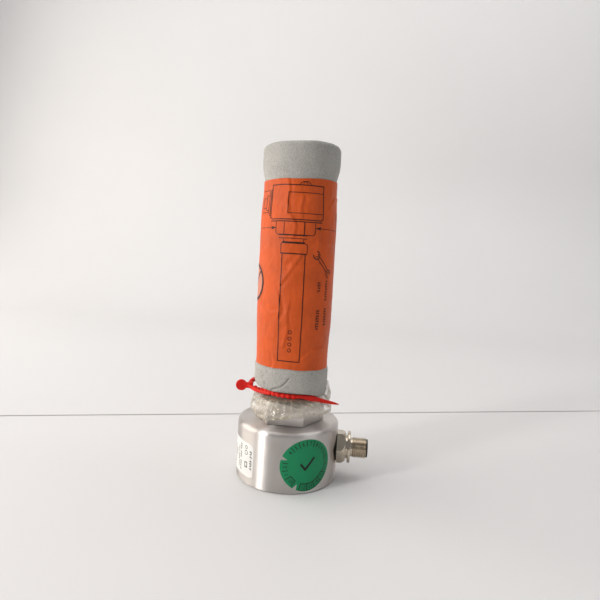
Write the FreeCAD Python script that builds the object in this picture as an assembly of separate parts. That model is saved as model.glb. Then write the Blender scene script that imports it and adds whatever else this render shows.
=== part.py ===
import FreeCAD, Part
import math
import os

# A stainless fluid sensor standing on its head, in its transport protection: a film bag tied round
# the thread, and a labelled foam sleeve over the probe. Millimetres. The origin is the centre of the
# head's flat end, +Z runs along the probe and +X along the plug connector.

V = FreeCAD.Vector
X = V(1, 0, 0)
Z = V(0, 0, 1)
gap = 0.05                  # radial play between pieces that sit in each other

# Head
headR = 30.0
headHeight = 34.0
headBore = 26.5
plateThick = 4.0
rimFillet = 2.5
coverR = 28.0
coverThick = 3.0

# Process connection: hexagon, collar and G3/4 stud with its spigot in the head
hexFlats = 36.0
hexBase = 34.4
hexTop = 46.5
studTop = 62.5
studR = 13.22
studPitch = 1.814
studDepth = 1.16
spigotR = 13.9
spigotBase = 27.0
mainBore = 8.0
tubeSpigotTop = 66.0

# Probe
tubeR = 12.0
tubeBore = 10.5
tipZ = 180.0
holeR = 1.5
holePitch = 6.0
lastHoleFromTip = 11.4
electrodeR = 4.0

# Plug connector, M12 x 1, along +X
plugZ = 18.5
spotFace = 29.2
sideBore = 5.65
adapterFlats = 17.0
adapterBase = 29.9
adapterTurn = -5.0
adapterEnd = 35.0
neckR = 6.75
neckEnd = 36.1
flangeR = 9.3
flangeEnd = 37.8
reliefR = 5.35
threadStart = 39.0
threadEnd = 47.0
threadR = 5.97
threadDepth = 0.5
plugPitch = 1.0
shellBore = 4.8
lipR = 5.2
lipEnd = 48.0
socketR = 4.3
socketFloor = 40.0
pinCircleR = 3.535
pinR = 0.5

# Circuit boards inside the head
mainBoardZ = 6.4
mainBoardR = 24.5
boardThick = 1.6
frontBoardZ = 21.0
frontBoardR = 20.0
spacerCircleR = 17.0
spacerAngles = (60, 180, 300)

# Stickers on the head: half width as an angle, heights, and places as angles from -Y towards +X
stickerThick = 0.12
labelBottom = 4.9
labelHigh = 24.3
labelAngle = -90.0
labelHalf = 58.3
discR = 14.6
discZ = 16.25
discAngle = 28.4
notchAngles = (162.6, 242.6)
notchDepth = 3.2
notchHalf = 5.6

# Film bag and its tie
bagBore = 13.55
bagWall = 0.3
bagBase = 48.6
bagTop = 186.0
gatherR = 16.0
tieBase = 49.7
tieTop = 52.7
tieR = 18.4
lockAngle = 6.2
lockR = 22.2
lockEnd = 25.4
discCentreR = 29.4
fingerR = 3.4
tailRoot = (8.7, -16.4, 51.3)
tailTip = (29.9, -5.3, 45.2)

# Foam sleeve and its label
sleeveR = 21.75
sleeveBore = 14.3
sleeveBase = 53.1
sleeveTop = 191.5
sleeveRim = 3.0
labelBase = 67.3
labelTop = 171.6
labelThick = 0.25


def cyl(r, z0, z1, centre=(0, 0)):
    return Part.makeCylinder(r, z1 - z0, V(centre[0], centre[1], z0), Z)


def ring(outer, inner, z0, z1, centre=(0, 0)):
    return cyl(outer, z0, z1, centre).cut(cyl(inner, z0 - 1, z1 + 1, centre))


def plugCyl(r, x0, x1):
    return Part.makeCylinder(r, x1 - x0, V(x0, 0, plugZ), X)


def plugRing(outer, inner, x0, x1):
    return plugCyl(outer, x0, x1).cut(plugCyl(inner, x0 - 1, x1 + 1))


def block(x0, x1, y0, y1, z0, z1):
    return Part.makeBox(x1 - x0, y1 - y0, z1 - z0, V(x0, y0, z0))


def polar(radius, degrees):
    a = math.radians(degrees)
    return radius * math.cos(a), radius * math.sin(a)


def revolved(points):
    """A solid of revolution about Z from (radius, z) points."""
    corners = [V(r, 0, z) for r, z in points]
    face = Part.Face(Part.makePolygon(corners + corners[:1]))
    return face.revolve(V(0, 0, 0), Z, 360)


def hexagon(flats, z0, z1, turn=0.0):
    """A hexagonal prism about Z, with a corner on the +X side before it is turned."""
    corners = [V(*polar(flats / math.sqrt(3), 60 * i + turn), z0) for i in range(6)]
    return Part.Face(Part.makePolygon(corners + corners[:1])).extrude(V(0, 0, z1 - z0))


def threaded(crest, depth, pitch, z0, z1):
    """A shaft about Z whose thread is drawn as rings, one V groove for each turn."""
    points = [(0, z0), (crest, z0)]
    for i in range(int((z1 - z0) / pitch)):
        z = z0 + (i + 0.5) * pitch
        points += [(crest, z - 0.42 * pitch), (crest - depth, z - 0.04 * pitch)]
        points += [(crest - depth, z + 0.04 * pitch), (crest, z + 0.42 * pitch)]
    points += [(crest, z1), (0, z1)]
    return revolved(points)


def alongPlug(shape):
    """Lay a shape that was made about Z down along the plug's axis, its base at x = 0."""
    shape.rotate(V(0, 0, 0), V(0, 1, 0), 90)
    shape.translate(V(0, 0, plugZ))
    return shape


def tube(points, bend, r):
    """A round wire along straight runs joined by tangent arcs of one radius."""
    edges = []
    start = points[0]
    for before, corner, after in zip(points, points[1:], points[2:]):
        inDir = (corner - before).normalize()
        outDir = (after - corner).normalize()
        turn = inDir.getAngle(outDir)
        reach = bend * math.tan(turn / 2)
        a = corner - inDir * reach
        b = corner + outDir * reach
        middle = (outDir - inDir).normalize()
        top = corner + middle * (bend / math.cos(turn / 2) - bend)
        edges += [Part.LineSegment(start, a).toShape(), Part.Arc(a, top, b).toShape()]
        start = b
    edges.append(Part.LineSegment(start, points[-1]).toShape())
    path = Part.Wire(edges)
    section = Part.Wire(Part.makeCircle(r, points[0], points[1] - points[0]))
    return path.makePipeShell([section], True, True)


# ---- head and its end cover

def headHousing():
    body = cyl(headR, 0, headHeight)
    body = body.makeFillet(rimFillet, [e for e in body.Edges if e.BoundBox.ZMin > headHeight - 0.01
                                       and e.BoundBox.XLength > headR])
    body = body.makeChamfer(0.8, [e for e in body.Edges if e.BoundBox.ZMax < 0.01
                                  and e.BoundBox.XLength > headR])
    body = body.cut(cyl(headBore, -1, headHeight - plateThick))
    body = body.cut(cyl(coverR, -1, coverThick))
    body = body.cut(cyl(spigotR + gap, 0, headHeight + 1))
    body = body.cut(plugCyl(10.5, spotFace, headR + 1))
    return body.cut(plugCyl(sideBore, 20, headR + 1))


def endCover():
    cover = cyl(coverR - gap, 0, coverThick)
    cover = cover.fuse(ring(headBore - gap, 21, coverThick, coverThick + 2.4))
    cover = cover.cut(ring(headBore, headBore - 1.3, coverThick + 0.5, coverThick + 1.7))
    for angle in (0, 90, 180, 270):
        cover = cover.cut(cyl(1.5, -1, 1.8, polar(22, angle + 45)))
    return cover.cut(ring(17.2, 16.6, -1, 0.3))


def coverSeal():
    return ring(headBore - gap, headBore - 1.25, coverThick + 0.55, coverThick + 1.65)


# ---- process connection and what it holds

def processConnection():
    crown = Part.makeCone(hexFlats / 2 + 4.5, hexFlats / 2 - 0.6, 5.1, V(0, 0, hexTop - 5.1), Z)
    body = hexagon(hexFlats, hexBase, hexTop)
    body = body.common(cyl(30, hexBase, hexTop - 5.0).fuse(crown))
    body = body.fuse(cyl(16.5, headHeight, hexBase))
    body = body.fuse(cyl(spigotR, spigotBase, headHeight))
    body = body.fuse(cyl(studR - studDepth, hexTop, hexTop + 1.8))
    body = body.fuse(threaded(studR, studDepth, studPitch, hexTop + 1.8, studTop - 0.8))
    body = body.fuse(Part.makeCone(studR, studR - 0.9, 0.8, V(0, 0, studTop - 0.8), Z))
    body = body.fuse(cyl(tubeBore - gap, studTop, tubeSpigotTop))
    body = body.cut(cyl(mainBore, spigotBase - 1, tubeSpigotTop + 1))
    return body.removeSplitter()


def sealRing():
    return ring(16.0, studR + 0.08, hexTop, hexTop + 1.7)


def spigotNut():
    nut = ring(17.2, spigotR + gap, spigotBase, headHeight - plateThick)
    for angle in range(0, 360, 90):
        slot = block(15.6, 18, -1.2, 1.2, spigotBase - 1, headHeight)
        slot.rotate(V(0, 0, 0), Z, angle)
        nut = nut.cut(slot)
    return nut


def feedthrough():
    return ring(mainBore - gap, 0.6, 29, 39)


def baseInsulator():
    body = ring(mainBore - gap, electrodeR + gap, 52, 72)
    body = body.fuse(ring(mainBore - gap, 0.6, 40, 51.9))
    body = body.fuse(ring(mainBore - gap, electrodeR + gap, 51.9, 52))
    return body.cut(cyl(1.15, 48, 66, (6, 0)))


def temperatureElement():
    return cyl(1.1, 48, 66, (6, 0))


def probeTube():
    body = ring(tubeR, tubeBore, studTop, tipZ)
    for i in range(4):
        z = tipZ - lastHoleFromTip - i * holePitch
        body = body.cut(Part.makeCylinder(holeR, 40, V(0, -20, z), V(0, 1, 0)))
    return body.makeChamfer(0.4, [e for e in body.Edges if e.BoundBox.ZMin > tipZ - 0.01
                                  and e.BoundBox.XLength > 2 * tubeR - 0.1])


def innerElectrode():
    return cyl(electrodeR, 52, tipZ - 1).cut(cyl(0.6, 51, 55))


def tipSpacer():
    """A four-armed spider that centres the electrode and leaves the gap open between its arms."""
    hub = cyl(5.2, tipZ - 5, tipZ - 2)
    for angle in (45, 135):
        arm = block(-tubeBore, tubeBore, -0.9, 0.9, tipZ - 5, tipZ - 2)
        arm.rotate(V(0, 0, 0), Z, angle)
        hub = hub.fuse(arm)
    hub = hub.common(cyl(tubeBore - gap, tipZ - 6, tipZ))
    return hub.cut(cyl(electrodeR + gap, tipZ - 6, tipZ)).removeSplitter()


def electrodeLead():
    return cyl(0.5, frontBoardZ + boardThick, 54.5)


# ---- plug connector

def adapterGasket():
    return plugRing(8.2, sideBore + gap, spotFace, adapterBase)


def connectorAdapter():
    body = alongPlug(hexagon(adapterFlats, adapterBase, adapterEnd, 90 + adapterTurn))
    crown = alongPlug(Part.makeCone(adapterFlats / 2 + 3.0, adapterFlats / 2 - 0.1, 5.1,
                                    V(0, 0, adapterBase), Z))
    body = body.common(crown)
    body = body.fuse(plugCyl(neckR, adapterEnd, neckEnd))
    body = body.fuse(plugCyl(sideBore - gap, 21.0, adapterBase))
    return body.cut(plugCyl(shellBore + gap, 20, neckEnd + 1))


def connectorNut():
    nut = alongPlug(hexagon(15.0, 22.0, 24.6))
    return nut.cut(plugCyl(sideBore, 20, 26))


def connectorShell():
    body = plugCyl(flangeR, neckEnd, flangeEnd)
    body = body.makeChamfer(0.3, [e for e in body.Edges if e.BoundBox.YLength > 2 * flangeR - 0.1])
    body = body.fuse(plugCyl(reliefR, flangeEnd, threadStart))
    body = body.fuse(alongPlug(threaded(threadR, threadDepth, plugPitch, threadStart, threadEnd)))
    return body.cut(plugCyl(shellBore, neckEnd - 1, threadEnd + 1)).removeSplitter()


def contactCarrier():
    body = plugCyl(shellBore - gap, 22.5, threadEnd)
    body = body.fuse(plugCyl(lipR, threadEnd, lipEnd))
    body = body.cut(plugCyl(socketR, socketFloor, lipEnd + 1))
    key = block(socketFloor, lipEnd - 0.6, -0.5, 0.5, plugZ - socketR - 0.2, plugZ - socketR + 0.55)
    key.rotate(V(0, 0, plugZ), X, 45)
    body = body.fuse(key)
    for y, z in pinPlaces():
        body = body.cut(Part.makeCylinder(pinR + 0.02, 30, V(20, y, z), X))
    return body


def pinPlaces():
    return [(pinCircleR * math.cos(math.radians(90 * i)),
             plugZ + pinCircleR * math.sin(math.radians(90 * i))) for i in range(4)]


def contactPins():
    pins = []
    for y, z in pinPlaces():
        pin = Part.makeCylinder(pinR, 25.5, V(21.0, y, z), X)
        pins.append(pin.fuse(Part.makeSphere(pinR, V(46.5, y, z))))
    return Part.makeCompound(pins)


def connectorWires():
    wires = []
    for i, (y, z) in enumerate(pinPlaces()):
        x = 18.6 - 0.45 * (z - plugZ) - 0.3 * i
        route = [V(21.0, y, z), V(x, y, z), V(x, y, mainBoardZ + boardThick)]
        wires.append(tube(route, 1.2, 0.42))
    return Part.makeCompound(wires)


# ---- circuit boards

def mainBoard():
    board = cyl(mainBoardR, mainBoardZ, mainBoardZ + boardThick)
    for angle in spacerAngles:
        board = board.cut(cyl(1.3, mainBoardZ - 1, mainBoardZ + 3, polar(spacerCircleR, angle)))
    return board


def frontBoard():
    board = cyl(frontBoardR, frontBoardZ, frontBoardZ + boardThick)
    board = board.cut(block(12, 30, -30, 30, frontBoardZ - 1, frontBoardZ + 3))
    for angle in spacerAngles:
        board = board.cut(cyl(1.3, frontBoardZ - 1, frontBoardZ + 3, polar(spacerCircleR, angle)))
    return board


def boardSpacers():
    spacers = []
    for angle in spacerAngles:
        x, y = polar(spacerCircleR, angle)
        post = hexagon(4.5, mainBoardZ + boardThick, frontBoardZ)
        post.translate(V(x, y, 0))
        spacers.append(post.cut(cyl(1.25, 0, 30, (x, y))))
    return Part.makeCompound(spacers)


def boardScrews():
    """Long screws from below: head, main board, spacer, front-end board and its nut."""
    screws = []
    top = frontBoardZ + boardThick
    for angle in spacerAngles:
        at = polar(spacerCircleR, angle)
        screw = cyl(1.2, mainBoardZ, top + 2.2, at).fuse(cyl(2.1, mainBoardZ - 1.5, mainBoardZ, at))
        slot = block(at[0] - 3, at[0] + 3, at[1] - 0.3, at[1] + 0.3, mainBoardZ - 2, mainBoardZ - 0.9)
        screws.append(screw.cut(slot))
    return Part.makeCompound(screws)


def boardNuts():
    nuts = []
    top = frontBoardZ + boardThick
    for angle in spacerAngles:
        x, y = polar(spacerCircleR, angle)
        nut = hexagon(4.0, top, top + 1.8)
        nut.translate(V(x, y, 0))
        nuts.append(nut.cut(cyl(1.25, top - 1, top + 3, (x, y))))
    return Part.makeCompound(nuts)


def chips():
    """Rectangular packages on the main board: centre x, y, then size along x and y, and height."""
    top = mainBoardZ + boardThick
    packages = ((-6, -4, 9, 9, 1.4), (-6, 10, 6, 5, 1.2), (0, -15, 5, 6, 1.2), (2, 16, 4, 4, 1.6))
    return Part.makeCompound([block(x - a / 2, x + a / 2, y - b / 2, y + b / 2, top, top + h)
                              for x, y, a, b, h in packages])


def capacitors():
    top = mainBoardZ + boardThick
    places = ((-14, -12), (-15, 10), (-6, -18))
    return Part.makeCompound([cyl(2.5, top, top + 6.5, at) for at in places])


def boardHeader():
    """The plug strip that joins the two boards."""
    return block(-8, 2, 3.6, 6.2, mainBoardZ + boardThick, frontBoardZ)


def insulatingSleeve():
    """A plastic liner in the head with a ledge over the main board's rim."""
    top = mainBoardZ + boardThick
    liner = ring(headBore - gap, 25.2, top, headHeight - plateThick)
    liner = liner.fuse(ring(headBore - gap, 23.4, top, top + 1.2))
    return liner.cut(block(15, 30, -9.6, 9.6, top + 1.2, headHeight))


def boardClampRing():
    """The ring between the end cover's lip and the main board."""
    return ring(24.4, 21.6, coverThick + 2.4, mainBoardZ)


# ---- stickers on the head

def wallPatch(outline):
    """The part of a thin shell round the head that an outline, swept inwards, cuts out."""
    inner = headR + 0.02
    return ring(inner + stickerThick, inner, 0.5, headHeight - 1).common(outline)


def ratingLabel():
    """A label that wraps the side opposite the plug, with rounded corners."""
    corner = 2.0
    half = math.radians(labelHalf)
    edgeX = -headR * math.cos(half)
    edgeY = headR * math.sin(half)
    wide = block(-2 * headR, edgeX, -edgeY, edgeY, labelBottom, labelHigh)
    ends = [e for e in wide.Edges if e.BoundBox.XLength > 10]
    patch = wallPatch(wide.makeFillet(corner, ends))
    patch.rotate(V(0, 0, 0), Z, labelAngle + 90)
    return patch


def testSticker():
    """A round inspection sticker with two notches punched in its rim, for month and year."""
    disc = Part.makeCylinder(discR, 40, V(0, 0, discZ), V(0, -1, 0))
    for angle in notchAngles:
        rim = discR + 1.0
        corners = [polar(discR - notchDepth, angle), polar(rim, angle - notchHalf)]
        corners.append(polar(rim, angle + notchHalf))
        outline = [V(x, 0, discZ + z) for x, z in corners]
        wedge = Part.Face(Part.makePolygon(outline + outline[:1])).extrude(V(0, -40, 0))
        disc = disc.cut(wedge)
    patch = wallPatch(disc)
    patch.rotate(V(0, 0, 0), Z, discAngle)
    return patch


# ---- transport protection

def probeBag():
    """Film pulled down over the probe and the thread, shut at the top."""
    bag = ring(bagBore + bagWall, bagBore, bagBase, bagTop)
    return bag.fuse(cyl(bagBore + bagWall, bagTop, bagTop + bagWall)).removeSplitter()


def bagSkirt():
    """The film's open end, gathered under the tie and flared over the hexagon."""
    inside = bagBore + bagWall
    outer = [(inside, tieTop), (gatherR, tieTop), (gatherR, 49.2), (17.2, 49.0), (19.2, 47.9)]
    outer += [(21.9, 46.2), (23.2, 43.5), (23.9, 39.5), (23.2, 36.2)]
    inner = [(22.7, 36.4), (23.4, 39.5), (22.7, 43.3), (21.3, 45.8), (16.6, bagBase)]
    return revolved(outer + inner + [(inside, bagBase)])


def sealingTie():
    """Bead tie: a loop round the gathered film, its lock, finger disc and tapered tail."""
    middle = (tieBase + tieTop) / 2
    lock = block(-lockEnd, -gatherR - 0.8, -1.8, 1.8, tieBase, tieTop)
    lock = lock.fuse(block(-lockEnd, -lockR, -1.8, 1.8, tieBase, tieTop + 3.0))
    lock = lock.fuse(block(-lockEnd - 1.5, -lockEnd, -0.8, 0.8, middle - 1.4, middle + 1.6))
    disc = Part.makeCylinder(fingerR, 1.6, V(-discCentreR, 0.8, middle + 0.3), V(0, -1, 0))
    lock = lock.fuse(disc)
    lock.rotate(V(0, 0, 0), Z, lockAngle)
    return ring(tieR, gatherR, tieBase, tieTop).fuse([lock, tieTail()]).removeSplitter()


def tieTail():
    """A flat strip that leaves the loop as a tangent and narrows to its tip."""
    root = V(*tailRoot)
    tip = V(*tailTip)
    along = V(tip.x - root.x, tip.y - root.y, 0).normalize()
    outward = V(along.y, -along.x, 0)
    rootShift = outward * -1.5
    ends = []
    for at, tall, shift in ((root, 1.3, rootShift), (tip, 0.6, V(0, 0, 0))):
        corners = [at + shift + outward * side + Z * up
                   for side, up in ((0, -tall), (1.4, -tall), (1.4, tall), (0, tall))]
        ends.append(Part.makePolygon(corners + corners[:1]))
    return Part.makeLoft(ends, True, True)


def foamSleeve():
    """A foam tube whose lower edge is drawn in over the tie."""
    points = [(sleeveBore, sleeveBase), (18.2, sleeveBase), (20.0, sleeveBase + 0.8)]
    points += [(21.1, sleeveBase + 2.7), (21.6, sleeveBase + 5.4), (sleeveR, sleeveBase + 8.4)]
    steps = 6
    for i in range(steps + 1):
        a = math.radians(90 * i / steps)
        points.append((sleeveR - sleeveRim + sleeveRim * math.cos(a),
                       sleeveTop - sleeveRim + sleeveRim * math.sin(a)))
    points += [(sleeveBore + 1.5, sleeveTop), (sleeveBore, sleeveTop - 1.5)]
    return revolved(points)


def sleeveLabel():
    return ring(sleeveR + 0.02 + labelThick, sleeveR + 0.02, labelBase, labelTop)


nodes = {
    "head_housing": headHousing,
    "end_cover": endCover,
    "cover_seal": coverSeal,
    "process_connection": processConnection,
    "thread_seal_ring": sealRing,
    "spigot_nut": spigotNut,
    "feedthrough_potting": feedthrough,
    "base_insulator": baseInsulator,
    "temperature_element": temperatureElement,
    "probe_tube": probeTube,
    "inner_electrode": innerElectrode,
    "tip_spacer": tipSpacer,
    "electrode_lead": electrodeLead,
    "adapter_gasket": adapterGasket,
    "connector_adapter": connectorAdapter,
    "connector_nut": connectorNut,
    "connector_shell": connectorShell,
    "contact_carrier": contactCarrier,
    "contact_pins": contactPins,
    "connector_wires": connectorWires,
    "main_board": mainBoard,
    "front_end_board": frontBoard,
    "board_spacers": boardSpacers,
    "board_screws": boardScrews,
    "board_nuts": boardNuts,
    "board_chips": chips,
    "board_capacitors": capacitors,
    "board_header": boardHeader,
    "insulating_sleeve": insulatingSleeve,
    "board_clamp_ring": boardClampRing,
    "rating_label": ratingLabel,
    "test_sticker": testSticker,
    "probe_bag": probeBag,
    "bag_skirt": bagSkirt,
    "sealing_tie": sealingTie,
    "foam_sleeve": foamSleeve,
    "sleeve_label": sleeveLabel,
}

os.makedirs("parts", exist_ok=True)
for name, make in nodes.items():
    shape = make()
    solids = shape.Solids
    if not solids or not shape.isValid():
        raise SystemExit(f"{name} is not a valid solid")
    shape.exportStep(f"parts/{name}.step")
    print(f"{name:22s} solids {len(solids)}  volume {sum(s.Volume for s in solids):10.1f}")
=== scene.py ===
import math
import bpy
from mathutils import Matrix, Vector, noise


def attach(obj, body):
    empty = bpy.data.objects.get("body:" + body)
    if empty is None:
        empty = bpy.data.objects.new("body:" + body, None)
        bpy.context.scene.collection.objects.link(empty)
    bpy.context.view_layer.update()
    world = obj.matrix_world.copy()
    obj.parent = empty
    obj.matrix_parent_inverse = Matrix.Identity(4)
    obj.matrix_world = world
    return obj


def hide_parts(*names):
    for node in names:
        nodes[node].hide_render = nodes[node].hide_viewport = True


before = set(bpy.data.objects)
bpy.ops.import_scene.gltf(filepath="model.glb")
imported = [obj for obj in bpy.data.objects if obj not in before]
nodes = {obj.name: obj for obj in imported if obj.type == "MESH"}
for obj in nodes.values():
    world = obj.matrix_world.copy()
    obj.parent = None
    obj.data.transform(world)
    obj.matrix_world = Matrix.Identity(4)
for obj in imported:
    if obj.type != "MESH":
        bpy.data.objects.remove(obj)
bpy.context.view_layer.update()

mm = 0.001
sleeveArc = 22.0  # radius at which distances round the sleeve are measured, in mm
studio = {"lens": 28.3, "place": (29.9, -276.2, 127.8), "heading": 5.55, "down": 4.77, "roll": 3.06,
          "skyColor": (0.93, 0.94, 0.96), "skyStrength": 0.28}
finish = {"foamGrey": (0.425, 0.408, 0.375), "orange": (0.63, 0.096, 0.0175), "tieRed": (0.69, 0.016, 0.008),
          "stickerGreen": (0.012, 0.245, 0.10), "ink": (0.035, 0.012, 0.008), "steel": (0.625, 0.585, 0.555)}


# angle in degrees round the object, from its front (-Y) towards the plug (+X); sizes in mm
def ringPoint(angle, radius, z):
    a = math.radians(angle)
    return Vector((radius * math.sin(a), -radius * math.cos(a), z)) * mm


# smooth noise from -1 to 1, with lumps of about the given size in mm
def rough(point, size, seed):
    return noise.noise(Vector(point) / (size * mm) + Vector((seed, seed * 1.7, -seed)))


def makeMesh(name, points, faces, smooth=True):
    mesh = bpy.data.meshes.new(name)
    mesh.from_pydata([tuple(p) for p in points], [], faces)
    mesh.update()
    piece = bpy.data.objects.new(name, mesh)
    bpy.context.scene.collection.objects.link(piece)
    if smooth:
        for face in mesh.polygons:
            face.use_smooth = True
    return piece


# makes a piece the only selected and the active one, for the operators
def choose(piece):
    bpy.ops.object.select_all(action="DESELECT")
    piece.select_set(True)
    bpy.context.view_layer.objects.active = piece


# faces of a grid of points, row by row; closed joins the last column to the first
def gridFaces(rows, columns, closed):
    faces = []
    for i in range(rows - 1):
        for j in range(columns if closed else columns - 1):
            k = (j + 1) % columns
            faces.append((i * columns + j, i * columns + k, (i + 1) * columns + k, (i + 1) * columns + j))
    return faces


# writes a piece's place and turn into its mesh, so that its object sits at the origin
def settle(piece, name=None):
    choose(piece)
    bpy.ops.object.transform_apply(location=True, rotation=True, scale=True)
    if name:
        piece.name = name
        piece.data.name = name
    return piece


# joins separate solids into one piece
def joined(pieces, name):
    bpy.ops.object.select_all(action="DESELECT")
    for piece in pieces:
        piece.select_set(True)
    bpy.context.view_layer.objects.active = pieces[0]
    bpy.ops.object.join()
    pieces[0].name = name
    return pieces[0]


def smoothEdges(piece, degrees):
    choose(piece)
    bpy.ops.object.shade_smooth_by_angle(angle=math.radians(degrees))


# gives a finished piece its material, the body it rides on and the CAD nodes it stands for
def dress(piece, body, material, slot, *replaced):
    piece.data.materials.clear()
    piece.data.materials.append(material)
    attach(piece, body)
    if replaced:
        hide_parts(*replaced)


# a Principled material; returns it with its tree and shader
def newMaterial(name, color, roughness, metallic=0.0):
    material = bpy.data.materials.new(name)
    material.use_nodes = True
    tree = material.node_tree
    shader = tree.nodes["Principled BSDF"]
    shader.inputs["Base Color"].default_value = (*color, 1.0)
    shader.inputs["Roughness"].default_value = roughness
    shader.inputs["Metallic"].default_value = metallic
    return material, tree, shader


def addNode(tree, kind, settings=None, **sockets):
    node = tree.nodes.new("ShaderNode" + kind)
    for key, value in (settings or {}).items():
        setattr(node, key, value)
    for key, value in sockets.items():
        node.inputs[key].default_value = value
    return node


# the surface's place on the object, stretched for a pattern
def objectPlace(tree, scale=(1, 1, 1)):
    place = addNode(tree, "TexCoord")
    mapping = addNode(tree, "Mapping", Scale=scale)
    tree.links.new(place.outputs["Object"], mapping.inputs["Vector"])
    return mapping.outputs["Vector"]


def noiseOf(tree, vector, scale, detail=4.0, roughness=0.55):
    pattern = addNode(tree, "TexNoise", Scale=scale, Detail=detail, Roughness=roughness)
    tree.links.new(vector, pattern.inputs["Vector"])
    return pattern.outputs["Fac"]


# a two-colour ramp; a number stands for a grey
def rampOf(tree, value, low, high, lowAt=0.3, highAt=0.7):
    ramp = addNode(tree, "ValToRGB")
    for stop, at, color in zip(ramp.color_ramp.elements, (lowAt, highAt), (low, high)):
        stop.position = at
        stop.color = (*color, 1.0) if hasattr(color, "__len__") else (color, color, color, 1.0)
    tree.links.new(value, ramp.inputs["Fac"])
    return ramp.outputs["Color"]


def shade(color, factor):
    return tuple(min(1.0, c * factor) for c in color)


def bumpOf(tree, shader, height, distance, strength, before=None):
    bump = addNode(tree, "Bump", Strength=strength, Distance=distance)
    tree.links.new(height, bump.inputs["Height"])
    if before:
        tree.links.new(before, bump.inputs["Normal"])
    tree.links.new(bump.outputs["Normal"], shader.inputs["Normal"])
    return bump.outputs["Normal"]


# mottles the colour and, if asked, the roughness, with soft noise
def varied(tree, shader, color, scale, spread, roughness=None):
    fac = noiseOf(tree, objectPlace(tree), scale)
    tree.links.new(rampOf(tree, fac, shade(color, 1 - spread), shade(color, 1 + spread)),
                   shader.inputs["Base Color"])
    if roughness:
        tree.links.new(rampOf(tree, fac, *roughness), shader.inputs["Roughness"])


# lathe-turned stainless: fine rings and faint scratches round the axis, dulled patches, and a gloss that
# spreads up and down, so that lights show as tall streaks
def turnedSteel():
    material, tree, shader = newMaterial("turned_steel", finish["steel"], 0.3, 1.0)
    varied(tree, shader, finish["steel"], 38, 0.05)
    clouds = noiseOf(tree, objectPlace(tree), 70, 6)
    tree.links.new(rampOf(tree, clouds, 0.33, 0.41), shader.inputs["Roughness"])
    rings = noiseOf(tree, objectPlace(tree, (0.01, 0.01, 1)), 5200, 3, 0.7)
    first = bumpOf(tree, shader, rings, 0.00007, 0.5)
    scratches = noiseOf(tree, objectPlace(tree, (0.12, 0.12, 1)), 700, 3, 0.6)
    bumpOf(tree, shader, scratches, 0.00002, 0.1, first)
    across = addNode(tree, "Tangent", {"direction_type": "RADIAL", "axis": "Z"})
    tree.links.new(across.outputs["Tangent"], shader.inputs["Tangent"])
    shader.inputs["Anisotropic"].default_value = 0.98
    shader.inputs["Anisotropic Rotation"].default_value = 0.25
    return material


# the hexagon, the stud and other machined inner pieces
def groundSteel():
    pale = shade(finish["steel"], 1.06)
    material, tree, shader = newMaterial("ground_steel", pale, 0.32, 1.0)
    varied(tree, shader, pale, 120, 0.07, (0.26, 0.42))
    bumpOf(tree, shader, noiseOf(tree, objectPlace(tree, (1, 1, 4)), 1400, 5, 0.7), 0.0001, 0.3)
    return material


# nickel plate on brass, a little warm, mottled in tone and gloss
def platedBrass():
    warm = (0.56, 0.49, 0.395)
    material, tree, shader = newMaterial("plated_brass", warm, 0.26, 1.0)
    varied(tree, shader, warm, 260, 0.1, (0.12, 0.26))
    bumpOf(tree, shader, noiseOf(tree, objectPlace(tree), 1900, 4), 0.0001, 0.25)
    return material


# a thin bright plating with uneven gloss
def thinPlate(name, color, roughness, scale, gloss):
    material, tree, shader = newMaterial(name, color, roughness, 1.0)
    varied(tree, shader, color, scale, 0.08, gloss)
    return material


# moulded plastic or rubber with a faint grain and uneven gloss
def plastic(name, color, roughness, scale=300, grain=0.00006, spread=0.08, soft=0.0, gloss=0.4):
    material, tree, shader = newMaterial(name, color, roughness)
    shader.inputs["Specular IOR Level"].default_value = gloss
    varied(tree, shader, color, scale, spread, (roughness * 0.8, min(1.0, roughness * 1.25)))
    bumpOf(tree, shader, noiseOf(tree, objectPlace(tree), scale * 6, 3), grain, 0.4)
    if soft:
        shader.inputs["Subsurface Weight"].default_value = soft
        shader.inputs["Subsurface Radius"].default_value = (0.002, 0.0006, 0.0004)
    return material


# closed-cell foam: a pebbled skin of small cells, with painted shade that darkens the pits
def foamSkin():
    base = finish["foamGrey"]
    material, tree, shader = newMaterial("foam_skin", base, 0.8)
    place = objectPlace(tree, (1, 1, 0.8))
    cells = addNode(tree, "TexVoronoi", {"feature": "SMOOTH_F1"}, Scale=1600, Smoothness=0.5)
    tree.links.new(place, cells.inputs["Vector"])
    pits = rampOf(tree, cells.outputs["Distance"], 1.0, 0.0, 0.15, 0.75)
    grain = noiseOf(tree, place, 2600, 5, 0.65)
    tone = noiseOf(tree, objectPlace(tree), 55, 5, 0.6)
    soft = rampOf(tree, tone, shade(base, 0.9), shade(base, 1.08), 0.35, 0.68)
    # painted shade: the colour is darkened in the cell pits, as if they were shadowed, and multiplied into
    # the tone below
    pitShade = rampOf(tree, pits, shade(base, 0.62), (1, 1, 1), 0.0, 0.55)
    blend = addNode(tree, "MixRGB", {"blend_type": "MULTIPLY"}, Fac=0.22)
    tree.links.new(soft, blend.inputs["Color1"])
    tree.links.new(pitShade, blend.inputs["Color2"])
    tree.links.new(blend.outputs["Color"], shader.inputs["Base Color"])
    first = bumpOf(tree, shader, pits, 0.00034, 0.58)
    bumpOf(tree, shader, grain, 0.00014, 0.35, first)
    tree.links.new(rampOf(tree, pits, 0.85, 0.48), shader.inputs["Roughness"])
    shader.inputs["Specular IOR Level"].default_value = 0.4
    return material


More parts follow.
